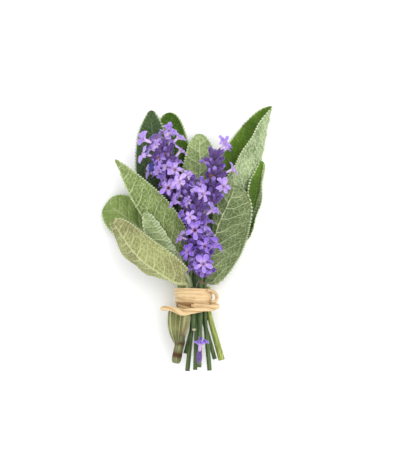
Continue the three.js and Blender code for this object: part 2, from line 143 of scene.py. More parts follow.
def through_tie(x, z, run_out):
    return [(x, y, z) for y in (-TIE_HALF - TIE_RUN_OUT, 0, TIE_HALF + run_out)]


def layer_height(layer):
    return TABLE_LAYER + layer * LAYER_PITCH


class Curve:
    """A centripetal Catmull-Rom curve through points, measured along its length from 0 to 1."""

    DIVISIONS = 200

    def __init__(self, points):
        inner = np.array(points, float)
        first = 2 * inner[0] - inner[1]
        last = 2 * inner[-1] - inner[-2]
        self.points = np.vstack([first, inner, last])
        self.knots = np.linspace(0, 1, self.DIVISIONS + 1)
        lengths = np.linalg.norm(np.diff(self.raw(self.knots), axis=0), axis=1)
        self.travelled = np.concatenate([[0], np.cumsum(lengths)])
        self.length = self.travelled[-1]

    def raw(self, t):
        spans = len(self.points) - 3
        place = np.clip(t, 0, 1) * spans
        i = np.minimum(place.astype(int), spans - 1)
        weight = (place - i)[:, None]
        p0, p1, p2, p3 = (self.points[i + k] for k in range(4))
        d0, d1, d2 = (
            np.sqrt(np.linalg.norm(b - a, axis=1, keepdims=True))
            for a, b in ((p0, p1), (p1, p2), (p2, p3))
        )
        start = ((p1 - p0) / d0 - (p2 - p0) / (d0 + d1) + (p2 - p1) / d1) * d1
        end = ((p2 - p1) / d1 - (p3 - p1) / (d1 + d2) + (p3 - p2) / d2) * d1
        square = -3 * p1 + 3 * p2 - 2 * start - end
        cube = 2 * p1 - 2 * p2 + start + end
        return p1 + weight * (start + weight * (square + weight * cube))

    def at(self, share):
        share = np.atleast_1d(np.asarray(share, float))
        return self.raw(np.interp(share * self.length, self.travelled, self.knots))

    def tangent(self, share):
        step = 1e-3
        return unit(self.at(np.minimum(share + step, 1)) - self.at(np.maximum(share - step, 0)))

    def frame(self, share):
        """Points, tangents, and the two directions square to them: sideways, and mostly up."""
        tangent = self.tangent(share)
        across = unit(np.cross(tangent, UP))
        return self.at(share), tangent, across, np.cross(across, tangent)


def scatter(cells, seed):
    """A repeatable random number from 0 to 1 for each whole-numbered cell."""
    a, b = cells[..., 0], cells[..., 1]
    value = np.sin(a * 127.1 + b * 311.7 + seed * 74.7) * 43758.5453
    return value - np.floor(value)


def cells_of(x, y, size, seed):
    """A net of cells: how far a point is from its cell's edge, as a share of the cell's size."""
    point = np.stack([x, y], -1) / size
    home = np.floor(point)
    gaps = []
    for dx in (-1, 0, 1):
        for dy in (-1, 0, 1):
            cell = home + (dx, dy)
            middle = cell + 0.5 + 0.8 * (np.stack([scatter(cell, seed), scatter(cell, seed + 1)], -1) - 0.5)
            gaps.append(np.linalg.norm(point - middle, axis=-1))
    nearest = np.sort(np.stack(gaps, -1), axis=-1)
    return nearest[..., 1] - nearest[..., 0]


# --- Meshes ---------------------------------------------------------------------------------
class Shape:
    """Closed surfaces gathered into one mesh, with numbers on each corner for its material."""

    def __init__(self):
        self.points, self.faces, self.flat = [], [], []
        self.marks = {}
        self.count = 0

    def add_rings(self, rings, **marks):
        """A closed body made of rings of points, with flat ends."""
        rows, sides = rings.shape[:2]
        row = np.arange(rows - 1)[:, None] * sides
        side = np.arange(sides)[None, :]
        after = (side + 1) % sides
        quads = np.stack([row + side, row + after, row + sides + after, row + sides + side], -1)
        quads = quads.reshape(-1, 4)
        points = rings.reshape(-1, 3)
        a, b, c, d = (points[quads[:, k]] for k in range(4))
        middle = points.mean(0)
        volume = np.sum((((a + b + c + d) / 4 - middle)) * np.cross(c - a, d - b))
        ends = [np.arange(sides)[::-1], np.arange(sides) + (rows - 1) * sides]
        if volume < 0:
            quads = quads[:, ::-1]
            ends = [end[::-1] for end in ends]
        self.points.append(points)
        self.faces += list(quads + self.count) + [end + self.count for end in ends]
        self.flat += [False] * len(quads) + [True, True]
        for name in sorted(set(self.marks) | set(marks)):
            column = self.marks.setdefault(name, [np.zeros(self.count)] if self.count else [])
            value = marks.get(name, 0.0)
            column.append(np.broadcast_to(np.asarray(value, float), (rows, sides)).reshape(-1))
        self.count += len(points)

    def build(self, name, material, slot, replaces=()):
        points = (np.vstack(self.points) + ORIGIN) / 1000
        mesh = bpy.data.meshes.new(name)
        sizes = np.array([len(face) for face in self.faces])
        corners = np.concatenate(self.faces)
        mesh.vertices.add(len(points))
        mesh.vertices.foreach_set("co", points.astype(np.float32).ravel())
        mesh.loops.add(len(corners))
        mesh.loops.foreach_set("vertex_index", corners.astype(np.int32))
        mesh.polygons.add(len(sizes))
        starts = np.concatenate([[0], np.cumsum(sizes)[:-1]])
        mesh.polygons.foreach_set("loop_start", starts.astype(np.int32))
        mesh.polygons.foreach_set("loop_total", sizes.astype(np.int32))
        mesh.polygons.foreach_set("use_smooth", ~np.array(self.flat))
        for mark, columns in self.marks.items():
            attribute = mesh.attributes.new(mark, "FLOAT", "POINT")
            attribute.data.foreach_set("value", np.concatenate(columns).astype(np.float32))
        mesh.update(calc_edges=True)
        mesh.materials.append(material)
        piece = bpy.data.objects.new(name, mesh)
        bpy.context.scene.collection.objects.link(piece)
        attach(piece, "root")
        if replaces:
            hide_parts(*replaces)


def tube_rings(curve, along, radius, sides, ripple=None):
    """Rings round a curve. radius is one number for each ring; ripple scales it round the ring."""
    centre, _, across, normal = curve.frame(along)
    turn = ring_turns(sides)
    reach = radius[:, None] * np.ones(sides)
    if ripple is not None:
        reach = reach * ripple(along[:, None], turn[None, :])
    out = across[:, None] * np.cos(turn)[None, :, None] + normal[:, None] * np.sin(turn)[None, :, None]
    return centre[:, None] + out * reach[..., None]


# --- Materials ------------------------------------------------------------------------------
MIX_SOCKETS = (0, 6, 7)  # the factor and the two colours of a Mix node for colours

def colour(red, green, blue):
    """A display colour from 0 to 255 as the linear colour a shader takes."""
    channels = np.array([red, green, blue]) / 255
    linear = np.where(channels > 0.04045, ((channels + 0.055) / 1.055) ** 2.4, channels / 12.92)
    return (*linear, 1.0)


class Paint:
    """A node material, built up step by step on one Principled shader."""

    def __init__(self, name, roughness=0.8, sheen=0.0, specular=0.35):
        self.material = bpy.data.materials.new(name)
        self.material.use_nodes = True
        self.nodes = self.material.node_tree.nodes
        self.links = self.material.node_tree.links
        self.shader = self.nodes["Principled BSDF"]
        self.shader.inputs["Roughness"].default_value = roughness
        self.shader.inputs["Sheen Weight"].default_value = sheen
        self.shader.inputs["Sheen Roughness"].default_value = 0.45
        self.shader.inputs["Specular IOR Level"].default_value = specular
        self.places = self.nodes.new("ShaderNodeTexCoord").outputs["Object"]

    def mark(self, name):
        node = self.nodes.new("ShaderNodeAttribute")
        node.attribute_name = name
        return node.outputs["Fac"]

    def noise(self, millimetres, detail=3.0, stretch=(1, 1, 1)):
        """Noise whose features are about that many millimetres across."""
        mapping = self.nodes.new("ShaderNodeMapping")
        mapping.inputs["Scale"].default_value = stretch
        self.links.new(self.places, mapping.inputs["Vector"])
        node = self.nodes.new("ShaderNodeTexNoise")
        node.inputs["Scale"].default_value = 1000 / millimetres
        node.inputs["Detail"].default_value = detail
        self.links.new(mapping.outputs["Vector"], node.inputs["Vector"])
        return node.outputs["Fac"]

    def ramp(self, value, low, high, start=0.0, end=1.0):
        """Value from low to high becomes start to end, and no more or less."""
        node = self.nodes.new("ShaderNodeMapRange")
        node.interpolation_type = "SMOOTHSTEP"
        for name, number in (("From Min", low), ("From Max", high), ("To Min", start), ("To Max", end)):
            node.inputs[name].default_value = number
        self.links.new(value, node.inputs["Value"])
        return node.outputs["Result"]

    def mix(self, share, a, b):
        """Two colours, each a socket or red, green and blue from 0 to 255, mixed by a share."""
        node = self.nodes.new("ShaderNodeMix")
        node.data_type = "RGBA"
        for socket, value in zip(MIX_SOCKETS, (share, a, b)):
            if isinstance(value, tuple):
                node.inputs[socket].default_value = colour(*value)
            else:
                self.links.new(value, node.inputs[socket])
        return node.outputs[2]

    def cover(self, base, *layers):
        """Colours laid over a base. A layer is a mark or a socket, a colour, and its ramp if it has one."""
        for share, over, *ramp in layers:
            share = self.mark(share) if isinstance(share, str) else share
            share = self.ramp(share, *ramp) if ramp else share
            base = self.mix(share, base, over)
        return base

    def finish(self, base, height=None, depth=0.1, rough=None):
        self.links.new(base, self.shader.inputs["Base Color"])
        if rough is not None:
            self.links.new(rough, self.shader.inputs["Roughness"])
        if height is not None:
            bump = self.nodes.new("ShaderNodeBump")
            bump.inputs["Strength"].default_value = 0.6
            bump.inputs["Distance"].default_value = depth / 1000
            self.links.new(height, bump.inputs["Height"])
            self.links.new(bump.outputs["Normal"], self.shader.inputs["Normal"])
        return self.material


def leaf_paint(name, upper, upper_deep, under, under_deep, vein, edge, net, side):
    """A sage leaf: pebbled green above, pale felt with raised veins below."""
    paint = Paint(name, roughness=0.78, sheen=0.12, specular=0.25)
    veins, cells = paint.mark("vein"), paint.mark("cell")
    patches = paint.ramp(paint.noise(9, 4), 0.35, 0.68)
    pebbles = paint.noise(0.42, 3)
    above = paint.cover(
        upper_deep, (patches, upper), (cells, upper_deep, 0.0, 0.5, 0.6, 0), (veins, vein, 0.4, 1.0, 0, side)
    )
    below = paint.cover(
        under_deep, (patches, under), (cells, under_deep, 0.1, 0.6, 0.0, 0.55),
        ("net", vein, 0.1, 0.9, 0, net), (veins, vein, 0.1, 0.9, 0, 0.85),
    )
    base = paint.cover(
        below, ("upper", above), ("brown", (104, 78, 60)), (pebbles, edge, 0.52, 0.72, 0, 0.2),
        (pebbles, upper_deep, 0.48, 0.3, 0, 0.3), ("edge", edge, 0.25, 0.7, 0, 0.88),
    )
    return paint.finish(base, pebbles, 0.16, paint.ramp(paint.noise(1.2, 2), 0.3, 0.7, 0.62, 0.85))


def stem_paint(name, pale, deep, cut, roughness=0.55):
    """A green stem: fine lengthwise fibres, patches, and a pale pithy cut."""
    paint = Paint(name, roughness=roughness, sheen=0.05, specular=0.4)
    fibres = paint.noise(0.5, 4, (1, 0.07, 1))
    base = paint.cover(
        deep, (fibres, pale, 0.3, 0.7), ("ridge", pale, 0.4, 1.0, 0, 0.6),
        (paint.noise(5, 3), deep, 0.45, 0.7, 0, 0.5), ("brown", (74, 48, 16)), ("cut", cut),
    )
    return paint.finish(base, fibres, 0.12)


def calyx_paint():
    """A downy lavender calyx: greenish at its foot, dusky violet above, with paler ribs."""
    paint = Paint("lavender_calyx", roughness=0.8, sheen=0.25, specular=0.2)
    height = paint.mark("height")
    buds = paint.cover((88, 52, 152), (paint.noise(2.2, 2), (156, 130, 206), 0.35, 0.65))
    base = paint.cover(
        (84, 92, 58), (height, (84, 48, 118), 0.02, 0.4), (height, (64, 30, 112), 0.5, 1.0, 0, 0.75),
        ("ridge", (156, 126, 192), 0.2, 1.0, 0, 0.4),
        (paint.noise(0.45, 3), (174, 154, 214), 0.48, 0.72, 0, 0.5),
        ("bud", buds), ("brown", (122, 84, 44)),
    )
    return paint.finish(base, paint.noise(0.3, 3), 0.12)


def corolla_paint():
    """A lavender corolla: pale tube, violet lobes with darker veins, and a dark red throat."""
    paint = Paint("lavender_corolla", roughness=0.55, sheen=0.2, specular=0.3)
    tint = paint.mark("tint")
    tube = paint.cover((182, 148, 212), (tint, (232, 212, 238)))
    lobes = paint.cover(
        (116, 76, 200), (tint, (214, 184, 246)), (paint.noise(1.6, 3), (142, 106, 212), 0.38, 0.7, 0, 0.45)
    )
    base = paint.cover(
        tube, ("reach", lobes, 0.46, 0.86), ("ridge", (112, 74, 186), 0.3, 1.0, 0, 0.32),
        ("rim", (222, 204, 246), 0.5, 1.0, 0, 0.22), ("throat", (110, 40, 80)), ("withered", (72, 84, 176)),
    )
    return paint.finish(base, paint.noise(0.4, 2), 0.06)


def raffia_paint():
    """Dry raffia: long fibres in straw and gold, darkened to deep brown by painted shade where a piece asks
    for it.
    """
    paint = Paint("raffia_straw", roughness=0.6, sheen=0.08, specular=0.4)
    base = paint.cover(
        (184, 146, 92), ("fibre", (226, 198, 152), 0.1, 0.6),
        (paint.noise(3, 4), (234, 206, 158), 0.4, 0.75, 0, 0.5),
        # The last layer is painted shade: a deep brown laid where the bands, strand and loop are marked
        # darker.
        (paint.noise(0.7, 4, (0.35, 1, 1)), (204, 158, 100), 0.5, 0.8, 0, 0.3), ("shade", (128, 88, 26)),
    )
    return paint.finish(base, paint.noise(0.5, 4), 0.15)


# Each leaf's colours: the upper face and its deep tone, the underside and its deep tone, the veins
# and the margin; then how strongly the net shows below, and the veins above.
GREENS = {
    "dull": ((80, 104, 60), (50, 74, 38), (142, 160, 116), (108, 128, 84),
             (180, 196, 150), (190, 204, 166), 0.4, 0.3),
    "deep": ((78, 116, 8), (44, 78, 0), (146, 166, 112), (104, 128, 72),
             (150, 178, 104), (184, 204, 140), 0.4, 0.3),
    "bright": ((112, 148, 34), (72, 106, 14), (164, 182, 134), (104, 126, 74),
               (206, 216, 180), (208, 218, 178), 0.75, 0.25),
    "light": ((150, 168, 102), (112, 136, 66), (164, 184, 122), (118, 144, 80),
              (208, 220, 168), (196, 210, 158), 0.6, 0.75),
    "grey": ((74, 106, 36), (42, 74, 16), (138, 156, 90), (98, 118, 54),
             (196, 208, 156), (196, 208, 166), 0.55, 0.5),
    "mist": ((74, 106, 36), (42, 74, 16), (126, 142, 92), (88, 104, 58),
             (190, 202, 156), (192, 204, 164), 0.42, 0.5),
    "felt": ((90, 120, 60), (60, 90, 36), (156, 170, 122), (124, 142, 90),
             (194, 206, 162), (198, 208, 172), 0.3, 0.5),
    "olive": ((110, 128, 60), (92, 96, 50), (158, 164, 104), (122, 120, 72),
              (194, 200, 150), (190, 194, 152), 0.6, 0.5),
    "sheath": ((140, 144, 88), (88, 94, 46), (160, 158, 112), (120, 116, 74),
               (206, 198, 160), (206, 198, 160), 0.4, 0.9),
}
LEAF_PAINTS = {name: leaf_paint(f"sage_{name}", *greens) for name, greens in GREENS.items()}
LAVENDER_GREEN = stem_paint("lavender_green", (96, 118, 66), (42, 64, 30), (196, 196, 160))
YOUNG_GREEN = stem_paint("young_green", (172, 182, 98), (108, 126, 52), (204, 210, 150), 0.42)
SAGE_WOOD = stem_paint("sage_wood", (150, 154, 108), (92, 94, 54), (198, 190, 140), 0.75)
CALYX, COROLLA, RAFFIA = calyx_paint(), corolla_paint(), raffia_paint()

# --- Sage leaves ----------------------------------------------------------------------------
# Routes, layers, folds and widths are the CAD model's, except that leaf_right_edge's right half and
# leaf_left_small's left half follow the photo, and the lobe, the sheaths and the pale strips are
# only here. place is the row and column in the tie, and widths and folds give the left half, then
# the right. up is 1 where the upper face is towards +Z, and veins counts each half's side veins.
LEAVES = [
    dict(name="back_left", place=(-1, 0), cut=(-7.5, -15),
         route=[(-8.5, 20.1), (-14, 40.1), (-17.6, 58.1), (-18.7, 77.6)],
         layer=1, arch=-0.2, base=0.42, point=0.62, widths=(8.6, 8.2),
         folds=((-6, -10), (4, 8)), rests=True,
         up=1, veins=9, sheath=1.0, green="dull", slot="upper"),
    dict(name="back_inner", place=(-2, 0), cut=(-4, -12),
         route=[(-4.5, 20.1), (-7, 40.1), (-9.6, 58.1), (-10.8, 76.7)],
         layer=0, arch=-0.2, base=0.45, point=0.45, widths=(7.6, 7.8),
         folds=((2, 2), (5, 3)), rests=True,
         up=1, veins=9, green="deep", slot="upper"),
    dict(name="back_centre", place=(-1, 1), cut=(-2, -9),
         route=[(0.4, 16.1), (1.6, 34.1), (2.8, 52.1), (2.4, 67)],
         layer=2.2, arch=0.75, base=0.4, point=0.5, widths=(7.6, 8),
         folds=((4, 8), (2, 6)),
         up=-1, veins=8, green="light", slot="under"),
    dict(name="right_tall", place=(-2, 1), cut=(0.5, -10),
         route=[(11, 18.1), (20, 33.1), (26.6, 47.1), (31, 62.1), (34.1, 79.4)],
         layer=0, arch=0.1, base=0.36, point=0.62, widths=(17.5, 14),
         folds=((1, 1), (166, 126)), rests=True,
         up=1, veins=11, green="bright", slot="upper"),
    dict(name="right_edge", place=(-2, 2), cut=(4.5, -9),
         route=[(13.8, 10.7), (21.4, 22.1), (26, 34.1), (28.4, 45.1), (30.2, 55)],
         layer=2, arch=0.1, base=0.4, point=0.6, widths=(6.2, 4.9), pale_strip=(-0.1, 0.95),
         folds=((58, 66), (78, 84)),
         up=1, veins=8, green="bright", slot="under"),
    dict(name="right_front", place=(-1, 3), cut=(6, -11),
         route=[(5.8, 4.2), (7.8, 16.1), (11.3, 28.1), (15.5, 37.1), (18.4, 44.1)],
         layer=7.1, arch=0.8, base=0.28, point=0.42, widths=(7.2, 13),
         folds=((-15, -12), (-4, 4)),
         up=-1, veins=8, green="mist", slot="under"),
    dict(name="left_low", place=(0, 0), cut=(-9.5, -15),
         route=[(-10, 8.2), (-18, 20.1), (-28, 29.1), (-38.4, 36.6)],
         layer=1.8, arch=-0.55, base=0.46, point=0.36, widths=(9.4, 9.4),
         folds=((-4, -8), (4, 0)),
         up=1, veins=7, sheath=1.1, green="light", slot="upper"),
    dict(name="left_tall", place=(1, 0), cut=(-7, -18),
         route=[(-6, 6.2), (-12.5, 17.1), (-21.3, 30), (-28.4, 42.1), (-34.1, 55.5)],
         layer=6, arch=0.5, base=0.36, point=0.82, widths=(6.4, 12.8),
         folds=((-172, -100), (4, 4)),
         up=-1, veins=9, sheath=1.3, green="grey", slot="under"),
    dict(name="left_small", place=(1, 1), cut=(-2.5, -9),
         route=[(-3.5, 6.2), (-6.8, 14.2), (-10.6, 20.6), (-15, 27.1), (-20.5, 33.1)],
         layer=8, arch=2.25, base=0.49, point=0.6, widths=(8.6, 3), pale_strip=(0, -0.02),
         folds=((-10, -6), (-160, -130)),
         up=-1, veins=7, green="felt", slot="under"),
    dict(name="left_front", place=(2, 0), cut=(-5, -17),
         route=[(-8.1, 2.4), (-15.2, 6.8), (-23.1, 12.8), (-29.3, 19.9), (-35.4, 29.1)],
         layer=7.4, arch=5.5, base=0.335, point=0.5, widths=(7.8, 9.4),
         folds=((-76, -58), (2, -6)), left_lag=0.2, shoulder=0.34, lobe=6.3,
         up=-1, veins=10, sheath=1.2, green="olive", slot="olive"),
]

SECTION_STEPS = 24
TIP_HALF_WIDTH = 0.25
REST_TRIES = 4
BLADE_SHOULDER = 0.5
BLADE_OPENS = 8
FOLD_OPENS = 8
CAD_ALONG = np.linspace(0, 1, 21)
CAD_SHARES = np.linspace(-1, 1, 7)
LEAF_ROWS = 300
LEAF_COLUMNS = 110
TOOTH = 1.3
SCALLOP_DEPTH = 0.75
EDGE_CROWDING = 0.75
BLADE_THINS = 0.7
LOBE_LENGTH = 0.15
LOBE_ROUND = 0.1
LOBE_TUCK = 0.45


def midrib_of(leaf, drop):
    x, z = slot_place(*leaf["place"])
    far = layer_height(leaf["layer"]) - drop
    points = [(*leaf["cut"], z), *through_tie(x, z, TIE_RUN_OUT)]
    for i, (route_x, rise_y) in enumerate(leaf["route"]):
        share = (i + 1) / len(leaf["route"])
        rise = leaf["arch"] * LAYER_PITCH * math.sin(math.pi * share)
        points.append((route_x, TIE_HALF + rise_y, lerp(z, far, smooth(share)) + rise))
    return Curve(points)


def blade_profile(t, point, shoulder):
    inside = (t > 0) & (t < 1)
    t = np.where(inside, t, 0.5)
    widest = shoulder / (shoulder + point)
    peak = widest**shoulder * (1 - widest) ** point
    return np.where(inside, t**shoulder * (1 - t) ** point / peak, 0)


def leaf_sheet(leaf, midrib, along, share, scallop=0.0, sheath=0.0):
    """The leaf's middle surface: rows along the midrib and columns from -1 to 1 across it."""
    t = np.clip((along - leaf["base"]) / (1 - leaf["base"]), 0, 1)[:, None]
    left = share < 0
    side = np.where(left, -1.0, 1.0)[None, :]
    lag = np.where(left, leaf.get("left_lag", 0), 0)[None, :]
    blade = blade_profile((t - lag) / (1 - lag), leaf["point"], leaf.get("shoulder", BLADE_SHOULDER))
    blade = blade * np.where(left, *leaf["widths"])[None, :]
    width = lerp(PETIOLE_DIAMETER / 2, TIP_HALF_WIDTH, smooth(t)) + blade
    width = width + scallop * smooth(blade / 2) + sheath
    opened = smooth(t * FOLD_OPENS)
    left_fold, right_fold = (np.radians(opened * lerp(*fold, t)) for fold in leaf["folds"])
    fold = np.where(left[None, :], left_fold, right_fold)[..., None]
    turn = ((left_fold + right_fold) / 2)[..., None]
    reach = np.abs(share)[None, :] * width
    steps = (np.arange(SECTION_STEPS) + 0.5) / SECTION_STEPS
    bend = np.exp(-reach[..., None] * steps / FOLD_RADIUS)
    slopes = side[..., None] * (fold - turn * bend)
    out = side * reach * np.cos(slopes).mean(-1)
    up = side * reach * np.sin(slopes).mean(-1)
    slope = side * (fold[..., 0] - turn[..., 0] * np.exp(-reach / FOLD_RADIUS))
    centre, _, across, normal = midrib.frame(along)
    across, normal = across[:, None], normal[:, None]
    sheet = centre[:, None] + across * out[..., None] + normal * up[..., None]
    facing = -across * np.sin(slope)[..., None] + normal * np.cos(slope)[..., None]
    return sheet, facing, dict(t=t, width=width, reach=reach, side=side, blade=blade)


def leaf_thickness(t, share):
    round_ = PETIOLE_DIAMETER * np.sqrt(np.maximum(0.04, 1 - share**2))[None, :]
    flat = lerp(LEAF_RIM, LEAF_THICKNESS, 1 - share**2)[None, :]
    return lerp(round_, flat, smooth(t * BLADE_OPENS))


def lowest_point(leaf, drop):
    sheet, facing, facts = leaf_sheet(leaf, midrib_of(leaf, drop), CAD_ALONG, CAD_SHARES)
    half = leaf_thickness(facts["t"], CAD_SHARES)[..., None] / 2
    return min((sheet - facing * half)[..., 2].min(), (sheet + facing * half)[..., 2].min())


def rest_of(leaf):
    """How far a resting leaf's far end is let down, and how far the whole leaf is then moved."""
    drop = 0.0
    if not leaf.get("rests"):
        return drop, 0.0
    for _ in range(REST_TRIES):
        drop += lowest_point(leaf, drop)
    return drop, -lowest_point(leaf, drop)


def leaf_relief(leaf, midrib, share, facts, seed):
    """The veins, the net between them, and the swelling of the blade between the veins."""
    t, reach, side = facts["t"], facts["reach"], facts["side"]
    blade_length = midrib.length * (1 - leaf["base"])
    travelled = t * blade_length
    away = np.abs(share)[None, :]
    open_blade = smooth(facts["blade"] / 2.5)
    before_tip = smooth((1 - t) * 9)
    pitch = blade_length / leaf["veins"]
    wander = 0.5 * np.sin(travelled * 0.31 + side * 2 + seed) + 0.35 * np.sin(reach * 0.9 + seed * 3)
    lean = 0.62 * reach + 0.035 * reach**2
    phase = (travelled - lean + wander) / pitch + 0.25 * side + seed * 0.37
    off = np.abs(phase - np.floor(phase) - 0.5) * pitch
    main = hump(reach, lerp(0.85, 0.28, t)) * smooth(t * 12) * before_tip
    main_line = hump(reach, lerp(0.5, 0.2, t)) * before_tip
    side_vein = hump(off, lerp(0.3, 0.17, away)) * (1 - away**6) * open_blade
    side_wide = hump(off, 1.15) * (1 - away**3) * open_blade
    x, y = travelled - lean * 0.6, side * reach + 40 * side
    net = cells_of(x, y, 1.9, seed)
    fine = cells_of(x + 9, y + 5, 0.95, seed + 7)
    net_vein = (1 - smooth(net / 0.16)) * open_blade
    fine_vein = (1 - smooth(fine / 0.24)) * open_blade
    domes = (0.13 * smooth(net / 0.7) + 0.09 * smooth(fine / 0.7)) * open_blade
    rolled = hump((1 - away) * facts["width"], 0.75) * open_blade
    wave = 0.45 * away**2 * np.sin(travelled * 0.42 + side * 1.3 + seed * 2) * open_blade
    return dict(
        ridge=0.55 * main * lerp(1.2, 0.5, t) + 0.3 * side_vein + 0.11 * net_vein + 0.05 * fine_vein,
        groove=0.32 * main + 0.2 * side_vein + 0.1 * net_vein + 0.05 * fine_vein,
        swell=0.3 * (1 - side_wide) * open_blade + domes - 0.3 * rolled,
        wave=wave + 0.22 * np.sin(travelled * 0.19 + reach * 0.35 * side + seed) * open_blade,
        vein=np.maximum(main_line, 0.95 * side_vein), net=np.maximum(net_vein, 0.7 * fine_vein),
        edge=rolled, cell=np.minimum(net, fine + 0.15),
    )


def base_lobe(leaf, midrib, along, share, t):
    """How far each point of the right half's base is drawn back towards the tie, as a lobe."""
    right = np.maximum(share, 0)[None, :] ** 1.25
    lobe = leaf.get("lobe", 0) * right * np.exp(-t / LOBE_LENGTH) * smooth(t / LOBE_ROUND)
    _, tangent, across, _ = midrib.frame(along)
    backward = unit(tangent * (-1, -1, 0)) - LOBE_TUCK * across + LOBE_TUCK * UP
    return lobe[..., None] * backward[:, None]


def make_leaf(leaf, seed):
    drop, shift = rest_of(leaf)
    midrib = midrib_of(leaf, drop)
    along = np.concatenate([
        np.linspace(0, leaf["base"], LEAF_ROWS // 5, endpoint=False),
        np.linspace(leaf["base"], 1, LEAF_ROWS),
    ])
    share = np.sin(np.linspace(-1, 1, LEAF_COLUMNS + 1) * np.pi / 2 * EDGE_CROWDING)
    share = share / math.sin(np.pi / 2 * EDGE_CROWDING)
    teeth = np.abs(np.sin(np.pi * along * midrib.length / TOOTH + seed))
    scallop = (SCALLOP_DEPTH * (teeth - 0.5))[:, None] * (np.abs(share) ** 8)[None, :]
    below_tie = np.clip(along * midrib.length / (-TIE_HALF - leaf["cut"][1]), 0, 1)
    sheath = leaf.get("sheath", 0) * np.sin(np.pi * np.clip(below_tie * 0.86 + 0.14, 0, 1))[:, None]
    sheet, facing, facts = leaf_sheet(leaf, midrib, along, share, scallop, sheath)
    relief = leaf_relief(leaf, midrib, share, facts, seed)
    t = facts["t"]
    sheet = sheet + base_lobe(leaf, midrib, along, share, t)
    half = leaf_thickness(t, share) / 2 * lerp(1, BLADE_THINS, smooth(t * BLADE_OPENS))
    upper = leaf["up"] * (half + relief["swell"] - relief["groove"]) + relief["wave"]
    under = leaf["up"] * (-half + relief["swell"] - relief["ridge"]) + relief["wave"]
    faces = [sheet + facing * height[..., None] for height in (upper, under)]
    for face in faces:
        face[..., 2] = np.maximum(face[..., 2] + shift, TABLE_CLEARANCE)
    marks = {name: both_sides(relief[name]) for name in ("vein", "net", "edge", "cell")}
    is_upper = both_sides(np.ones_like(half), np.zeros_like(half)) * smooth(t * 6)
    if "pale_strip" in leaf:
        strip = both_sides(smooth(4 - 12 * np.abs(share[None, :] - lerp(*leaf["pale_strip"], t))))
        is_upper = is_upper * (1 - strip)
        marks["edge"] = np.maximum(marks["edge"], 0.55 * strip)
    petiole = 1 - smooth(t * 6)
    groove = both_sides(np.abs(share)[None, :] ** 2)
    marks["vein"] = np.maximum(marks["vein"], petiole * lerp(0.1, 0.6, groove))
    marks["edge"] = marks["edge"] * (0.25 + 0.75 * teeth[:, None] ** 1.5)
    browned = petiole * (1 - below_tie[:, None]) ** 2 * (1 - groove)
    shape = Shape()
    shape.add_rings(both_sides(*faces), upper=is_upper, brown=browned, **marks)
    node = f"leaf_{leaf['name']}"
    shape.build(f"{node}_blade", LEAF_PAINTS[leaf["green"]], f"sage_{leaf['slot']}", [node])


for seed, leaf in enumerate(LEAVES, 1):
    make_leaf(leaf, seed)

# --- Lavender -------------------------------------------------------------------------------
# The axes beyond the tie, the whorls from the tip and the open florets, as (distance from the tip,
# turn round the stalk, size), are the CAD model's. The rest is only here: count calyxes a row, the
# share of them with a small floret, how fast the lobes darken down the stalk, bracts as (distance,
# turn, length) and withered florets as (distance, turn).
STALKS = [
    dict(name="lavender_left", place=(0, 2), cut=(-2.7, STALK_CUT), whorls=5, tip_droops=True,
         axis=[(0.6, 8.2, 4.35), (-2.5, 24.8, 4.85), (-8.2, 42.1, 5.25), (-12, 53.1, 5.6), (-14.3, 61.6, 6)],
         count=8, florets=0.4, fading=0.004, bracts=[(5, 12, 4.6), (6, -40, 4)], withered=[(11.5, -88)],
         open=[(0, -36, 1), (0, 26, 1), (2.2, 92, 0.85), (5.1, -80, 1), (8.5, 88, 0.9), (13, -100, 0.9),
               (15.5, 22, 1.1), (22, -16, 1)]),
    dict(name="lavender_right", place=(1, 3), cut=(7, STALK_CUT + 0.4), whorls=4, tip_droops=True,
         axis=[(6.4, 8.2, 5.5), (8.2, 24.8, 6.6), (8.6, 38.1, 7.6), (9, 48.1, 7.7), (9.6, 57.1, 7.9)],
         count=6, florets=0.1, fading=0.0, bracts=[(10, -20, 4.2), (11, 40, 3.6)], withered=[],
         open=[(0, 18, 0.9), (9, 84, 0.8), (17, 30, 1)]),
    dict(name="lavender_front", place=(2, 2), cut=(2.4, STALK_CUT + 2), whorls=8, tip_droops=False,
         axis=[(3.6, 5.3, 7.3), (2.9, 13.8, 8.15), (1.4, 26.9, 8.9), (-0.5, 38.1, 9.2), (-2, 45.1, 9.3)],
         count=8, florets=0.34, fading=0.014, bracts=[(44, 10, 3)], withered=[],
         open=[(2, -30, 0.9), (9.2, 34, 1), (10, -75, 0.9), (16.4, 72, 0.95), (17.4, -20, 0.75),
               (23.5, -8, 1), (26, -74, 0.8), (30.5, 62, 1), (32.5, -38, 0.95), (37.4, 6, 1)]),
]
STALK_TIP_DIAMETER = 1.2
STEM_SIDES = 32
CALYX_SEAT = 0.9
CALYX_SIDES = 26
BUD_CHANCE = 0.75
BUD_SIDES = 14
BRACT_LEAN = 62
BRACT_WIDTH = 2.3
BRACT_SIDES = 24
WITHERED_LEAN = 52
FINE_PITCH = 3.3
FLORET_CLEARANCE = 2.9
TIP_REACH = 3
TIP_FLATTENS = (1, 1, 0.55)
TUBE_SEAT = 0.9
SMALL_TUBE_SEAT = 0.8


def stem_curve(place, cut, beyond):
    x, z = slot_place(*place)
    points = [(*cut, z), *through_tie(x, z, TIE_RUN_OUT if beyond else 0)]
    points += [(px, TIE_HALF + rise, layer_height(layer)) for px, rise, layer in beyond]
    return Curve(points)


def calyx_place(axis, distance, turn, lean):
    """The foot and direction of the calyx at a distance down from a stalk's tip, and its top side."""
    share = 1 - (distance + CALYX_SEAT) / axis.length
    centre, tangent, across, normal = (part[0] for part in axis.frame(share))
    angle = math.radians(turn)
    outward = across * math.sin(angle) + normal * math.cos(angle)
    direction = tangent * math.cos(math.radians(lean)) + outward * math.sin(math.radians(lean))
    return centre + outward * STALK_TIP_DIAMETER / 4, direction, tangent


